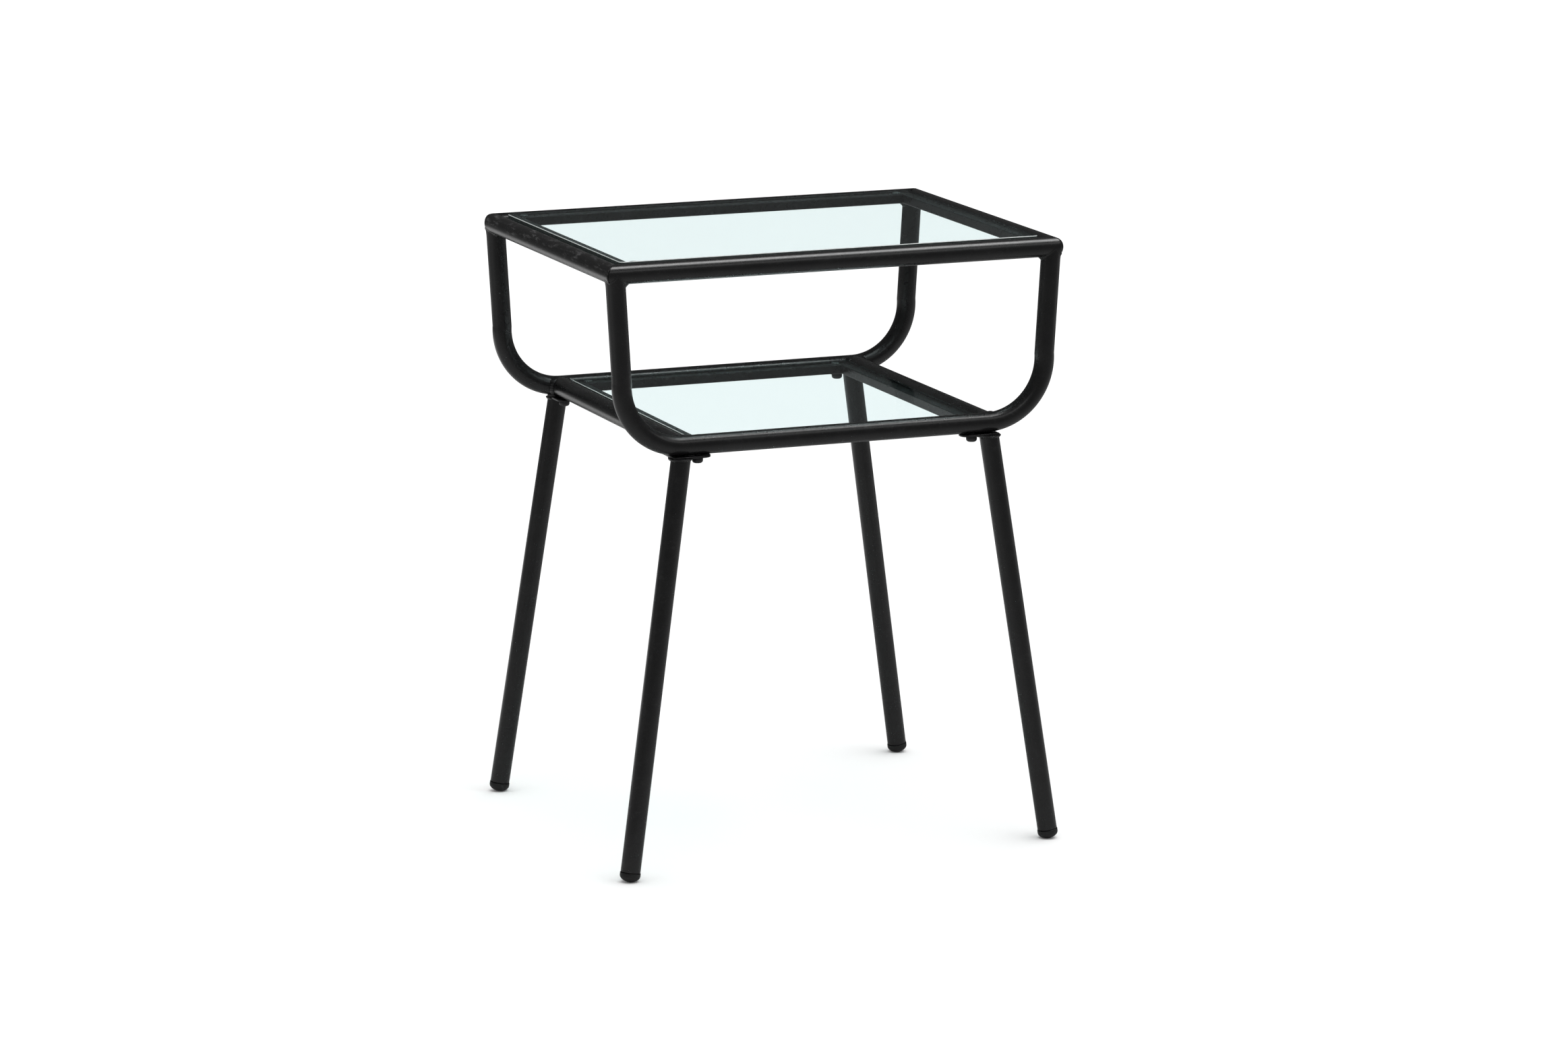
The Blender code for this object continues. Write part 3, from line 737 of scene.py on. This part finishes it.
def leg_weld(name, sole, up, seed):
    theta = angles(WELD_POINTS)
    plate_z = LEG_TOP_Z + PLATE_GAP
    turn = up.to_track_quat("Z", "Y").to_matrix()
    out = np.array([turn @ Vector((math.cos(t), math.sin(t), 0)) for t in theta])
    joint = np.array(sole) + out * TUBE_R
    joint = joint + np.array(up) * ((plate_z - joint[:, 2]) / up.z)[:, None]
    down = np.tile([0.0, 0.0, -1.0], (WELD_POINTS, 1))

    def on_leg(points):
        return on_tube(points, sole, up)

    def on_plate(points):
        flat = points.copy()
        flat[:, 2] = plate_z
        return flat

    weld(f"weld_leg_{name}", joint, out, down, down, out, on_leg, on_plate, LEG_WELD,
         WELD_FILL, seed)


def foot(name, place):
    """A pressed-in plug: its stem, a collar with a soft shoulder, and a dome with a flat sole."""
    edge, stem = FOOT_COLLAR_EDGE, FOOT_COLLAR + FOOT_STEM
    profile = [(HUB_R["foot"], stem), (FOOT_STEM_R, stem), (FOOT_STEM_R, FOOT_COLLAR)]
    profile += arc(FOOT_R - edge, FOOT_COLLAR - edge, edge, 90, 0, COLLAR_STEPS)
    profile += [(FOOT_R, FOOT_COLLAR / 2)]
    profile += arc(0.0, 0.0, FOOT_R, 0, -88, DOME_STEPS, FOOT_DOME / FOOT_R)
    rings = turned_rings(profile, TUBE_SIDES, place)
    points, faces = skin(rings)
    for p in points:
        p.z = max(p.z, 0.0)
    make(f"foot_{name}_plug", points, faces, RUBBER, "frame", [f"foot_{name}"])


# ---------------------------------------------------------------- plates, bolts, pads, glass


def rounded_outline(corners, radii, steps):
    """Outline points of a polygon, counter-clockwise, with an arc of each radius at each corner."""
    points = []
    count = len(corners)
    for i, radius in enumerate(radii):
        here = Vector(corners[i])
        to_last = (Vector(corners[i - 1]) - here).normalized()
        to_next = (Vector(corners[(i + 1) % count]) - here).normalized()
        half = to_last.angle(to_next) / 2
        centre = here + (to_last + to_next).normalized() * radius / math.sin(half)
        first = here + to_last * radius / math.tan(half) - centre
        turn = first.angle_signed(here + to_next * radius / math.tan(half) - centre)
        for k in range(steps + 1):
            points.append(centre + Matrix.Rotation(-turn * k / steps, 2) @ first)
    return points


def sheet_mesh(outlines, thickness, edge):
    """Points and faces of a flat sheet with holes, centred on z = 0, with rounded rims."""
    curve = bpy.data.curves.new("outline", "CURVE")
    curve.dimensions = "2D"
    curve.fill_mode = "BOTH"
    curve.extrude = thickness / 2 - edge
    curve.bevel_depth = edge
    curve.bevel_resolution = 2
    curve.offset = -edge
    for outline in outlines:
        spline = curve.splines.new("POLY")
        spline.use_cyclic_u = True
        spline.points.add(len(outline) - 1)
        for point, (x, y) in zip(spline.points, outline):
            point.co = (x, y, 0.0, 1.0)
    holder = bpy.data.objects.new("outline", curve)
    bpy.context.scene.collection.objects.link(holder)
    bpy.context.view_layer.update()
    graph = bpy.context.evaluated_depsgraph_get()
    mesh = bpy.data.meshes.new_from_object(holder.evaluated_get(graph))
    bpy.data.objects.remove(holder, do_unlink=True)
    points = [v.co.copy() for v in mesh.vertices]
    faces = [tuple(p.vertices) for p in mesh.polygons]
    bpy.data.meshes.remove(mesh)
    return points, faces


def plates():
    """Corner brackets: an L of sheet with rounded ends and rims, and a hole for each bolt."""
    w, reach = PLATE_HALF_WIDTH, PLATE_ARM
    corners = [(-w, -w), (reach, -w), (reach, w), (w, w), (w, reach), (-w, reach)]
    radii = [PLATE_CORNER_R, PLATE_END_R, PLATE_END_R, PLATE_NOTCH_R, PLATE_END_R, PLATE_END_R]
    outline = rounded_outline(corners, radii, OUTLINE_STEPS)
    order = [("left", "front"), ("right", "front"), ("right", "back"), ("left", "back")]
    for quarters, (side, end) in enumerate(order):
        name = f"plate_{end}_{side}"
        low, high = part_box(name)
        x, y = SIDES[side] * SHELF_HALF_WIDTH, ENDS[end] * HALF_DEPTH
        turn = Matrix.Rotation(quarters * math.pi / 2, 4, "Z")
        place = Matrix.Translation((x, y, (low.z + high.z) / 2)) @ turn
        holes = []
        for arm in "ab":
            at = place.inverted() @ middle(f"bolt_{end}_{side}_{arm}")
            ring = [(at.x + PLATE_HOLE_R * math.cos(t), at.y - PLATE_HOLE_R * math.sin(t))
                    for t in angles(HOLE_SIDES)]
            holes.append(ring)
        points, faces = sheet_mesh([outline, *holes], high.z - low.z, PLATE_BEVEL)
        points = [place @ p for p in points]
        make(f"{name}_bevelled", points, faces, PAINT, "frame", [name])


def bolt(name):
    """A button-head bolt: its shank, a thin washer, the head and a hexagonal socket."""
    low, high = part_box(name)
    centre = (low + high) / 2
    head_r, head_top = (high.x - low.x) / 2, LEG_TOP_Z - HEAD_TOP
    profile = [(HUB_R["bolt"], high.z), (BOLT_END_R, high.z), (BOLT_R, high.z - BOLT_CHAMFER)]
    profile += [(BOLT_R, LEG_TOP_Z), (WASHER_R - WASHER_EDGE, LEG_TOP_Z)]
    profile += [(WASHER_R, LEG_TOP_Z - WASHER_EDGE), (WASHER_R, head_top)]
    profile += [(head_r - HEAD_RIM, head_top)]
    profile += arc(head_r - HEAD_RIM, head_top - HEAD_RIM, HEAD_RIM, 90, 0, RIM_STEPS)
    profile += [(head_r, LEG_TOP_Z - HEAD_WALL)]
    crown = LEG_TOP_Z - HEAD_CROWN - low.z
    for k in range(HEAD_STEPS + 1):
        t = math.pi / 2 * k / HEAD_STEPS
        profile.append((HEAD_FLAT_R + (head_r - HEAD_FLAT_R) * math.cos(t),
                        low.z + crown * (1 - math.sin(t))))
    rings = turned_rings(profile, SMALL_SIDES, Matrix.Translation((centre.x, centre.y, 0)))
    theta = angles(SMALL_SIDES)
    hexagon = SOCKET_HALF_WIDTH / np.cos(np.abs((theta % (math.pi / 3)) - math.pi / 6))
    wider, lip = SOCKET_LIP
    for scale, depth in ((wider, 0.0), (1.0, lip), (1.0, SOCKET_DEPTH)):
        rings.append([(centre.x + r * scale * math.cos(t), centre.y + r * scale * math.sin(t),
                       low.z + depth) for r, t in zip(hexagon, theta)])
    points, faces = skin(rings)
    make(f"{name}_button_head", points, faces, BOLT, "frame", [name])


def bolts():
    for side in SIDES:
        for end in ENDS:
            for arm in "ab":
                bolt(f"bolt_{end}_{side}_{arm}")


def pads():
    """Clear bumpers with a rounded rim."""
    for tier in TIERS:
        for side in SIDES:
            for end in ENDS:
                name = f"{tier}_pad_{end}_{side}"
                low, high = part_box(name)
                centre = (low + high) / 2
                radius, edge = (high.y - low.y) / 2, PAD_EDGE_R
                profile = [(HUB_R["pad"], low.z), (radius, low.z)]
                profile += arc(radius - edge, high.z - edge, edge, 0, 90, PAD_STEPS)
                profile += [(HUB_R["pad"], high.z)]
                place = Matrix.Translation((centre.x, centre.y, 0))
                points, faces = skin(turned_rings(profile, PAD_SIDES, place))
                make(f"{name}_bumper", points, faces, PAD, "frame", [name])


def pane_ring(x, y, z, inset):
    """The rounded outline of a pane of half-width x and half-depth y, drawn in by an inset."""
    x, y = x - inset, y - inset
    corners = [(-x, -y), (x, -y), (x, y), (-x, y)]
    return [(*p, z) for p in rounded_outline(corners, [GLASS_CORNER_R - inset] * 4, OUTLINE_STEPS)]


def panes():
    """Glass panes with rounded corners; their edges and fine arrises are ground."""
    for tier in TIERS:
        low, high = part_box(f"{tier}_glass")
        levels = [(low.z, GLASS_ARRIS), (low.z + GLASS_ARRIS, 0), (high.z - GLASS_ARRIS, 0),
                  (high.z, GLASS_ARRIS)]
        rings = [pane_ring(high.x, high.y, z, inset) for z, inset in levels]
        sides = len(rings[0])
        points = [Vector(p) for ring in rings for p in ring]
        faces, slots = [], []
        for i, ground in enumerate((1, 1, 2)):
            for j in range(sides):
                k = (j + 1) % sides
                faces.append((i * sides + j, i * sides + k, (i + 1) * sides + k, (i + 1) * sides + j))
                slots.append(ground)
        faces += [tuple(range(sides))[::-1], tuple(range(3 * sides, 4 * sides))]
        slots += [0, 0]
        make(f"{tier}_glass_pane", points, faces, [GLASS, EDGE, ARRIS], f"{tier}_pane",
             [f"{tier}_glass"], sharp=SHARP_ON_GLASS, face_slots=slots)


def repaint(name, material):
    """A new material on a node that keeps its CAD shape."""
    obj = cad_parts[name]
    obj.data.materials.clear()
    obj.data.materials.append(material)


top_rails()
bent_frames()
shelf_rails()
legs_and_feet()
plates()
bolts()
pads()
panes()
for tier in TIERS:
    for name in (*ENDS, *SIDES):
        repaint(f"{tier}_ledge_{name}", LEDGE)
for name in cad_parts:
    if name.startswith("nut_"):
        repaint(name, NUT)


# ---------------------------------------------------------------- floor, light and camera

FLOOR_RADIUS = 30.0
FLOOR_DROP = 0.0002
FLOOR_SEGMENTS = 96
# Even light from above, and the softboxes that shine in the paint: radiance, size, place, aim and
# spread in degrees
SUN_POWER = 1.6
SUN_WIDTH = math.radians(60)
SUN_TOWARDS = (0.2, -0.1, 1.0)
OVERHEAD = 0.9
BOXES = {
    "softbox_top": (13.4, (2.6, 0.48), (0.35, -0.150, 1.36), (-0.19, -0.165, 0.0), 40),
    "softbox_front": (1.3, (2.6, 0.30), (0.50, -1.20, 1.60), (0.0, -0.17, 0.58), 180),
}
# The world's strength where it is mirrored or seen through glass, as fill light, and seen directly
WORLD_IN_GLOSS = 0.09
WORLD_FILL = 0.85
WORLD_SEEN = 1.0
CAMERA_PLACE = (-2.09429308, -5.17621441, 1.46706207)
CAMERA_RIGHT = (0.92615432, -0.37714227, 0.00136994)
CAMERA_DOWN = (-0.07666107, -0.19181189, -0.97843307)
CAMERA_AHEAD = (0.36927124, 0.906075, -0.20655954)
CAMERA_LENS = 133.702


def stage_floor():
    shape = bmesh.new()
    bmesh.ops.create_circle(shape, cap_ends=True, segments=FLOOR_SEGMENTS, radius=FLOOR_RADIUS)
    mesh = bpy.data.meshes.new("studio_floor")
    shape.to_mesh(mesh)
    shape.free()
    mesh.materials.append(FLOOR)
    floor = bpy.data.objects.new("studio_floor", mesh)
    floor.location.z = -FLOOR_DROP
    bpy.context.scene.collection.objects.link(floor)


def lights():
    """A wide sun that only lights, and softboxes that only shine in the paint."""
    lamp = bpy.data.lights.new("soft_overhead", "SUN")
    lamp.energy = SUN_POWER
    lamp.angle = SUN_WIDTH
    sun = bpy.data.objects.new("soft_overhead", lamp)
    sun.rotation_euler = Vector(SUN_TOWARDS).to_track_quat("Z", "Y").to_euler()
    sun.visible_glossy = False
    bpy.context.scene.collection.objects.link(sun)
    for name, (radiance, (width, depth), place, aim, spread) in BOXES.items():
        lamp = bpy.data.lights.new(name, "AREA")
        lamp.shape = "RECTANGLE"
        lamp.size, lamp.size_y = width, depth
        lamp.spread = math.radians(spread)
        lamp.energy = radiance * math.pi * width * depth
        if spread < 180:
            # A narrower spread keeps the same power, so it would be this much brighter
            lamp.energy *= 1 - lamp.spread / 2 / math.tan(lamp.spread / 2)
        box = bpy.data.objects.new(name, lamp)
        box.location = place
        back = (Vector(place) - Vector(aim)).normalized()
        right = Vector((0, 1, 0) if back.z > OVERHEAD else (0, 0, 1)).cross(back).normalized()
        box.rotation_euler = Matrix((right, back.cross(right), back)).transposed().to_euler()
        box.visible_camera = False
        box.visible_diffuse = False
        bpy.context.scene.collection.objects.link(box)


def surround():
    """A white world for the camera, dimmer where the paint mirrors it."""
    world = bpy.data.worlds.new("studio")
    bpy.context.scene.world = world
    world.use_nodes = True
    tree = world.node_tree
    tree.nodes.clear()
    path = node(tree, "LightPath")

    def shade(strength):
        return node(tree, "Background", None, Color=(1, 1, 1, 1), Strength=strength).outputs[0]

    total = shade(WORLD_IN_GLOSS)
    for ray, strength in (("Is Diffuse Ray", WORLD_FILL), ("Is Camera Ray", WORLD_SEEN)):
        mixed = node(tree, "MixShader", None, _0=path.outputs[ray], _1=total, _2=shade(strength))
        total = mixed.outputs[0]
    out = tree.nodes.new("ShaderNodeOutputWorld")
    tree.links.new(total, out.inputs[0])


def camera():
    """The photo's camera, as fitted to the outlines of the tubes."""
    data = bpy.data.cameras.new("camera")
    data.sensor_width = 36.0
    data.lens = CAMERA_LENS
    data.clip_end = 200.0
    obj = bpy.data.objects.new("camera", data)
    bpy.context.scene.collection.objects.link(obj)
    columns = (Vector(CAMERA_RIGHT), -Vector(CAMERA_DOWN), -Vector(CAMERA_AHEAD))
    obj.matrix_world = Matrix.Translation(CAMERA_PLACE) @ Matrix(columns).transposed().to_4x4()
    bpy.context.scene.camera = obj
    bpy.context.scene.view_settings.view_transform = "Standard"


stage_floor()
lights()
surround()
camera()
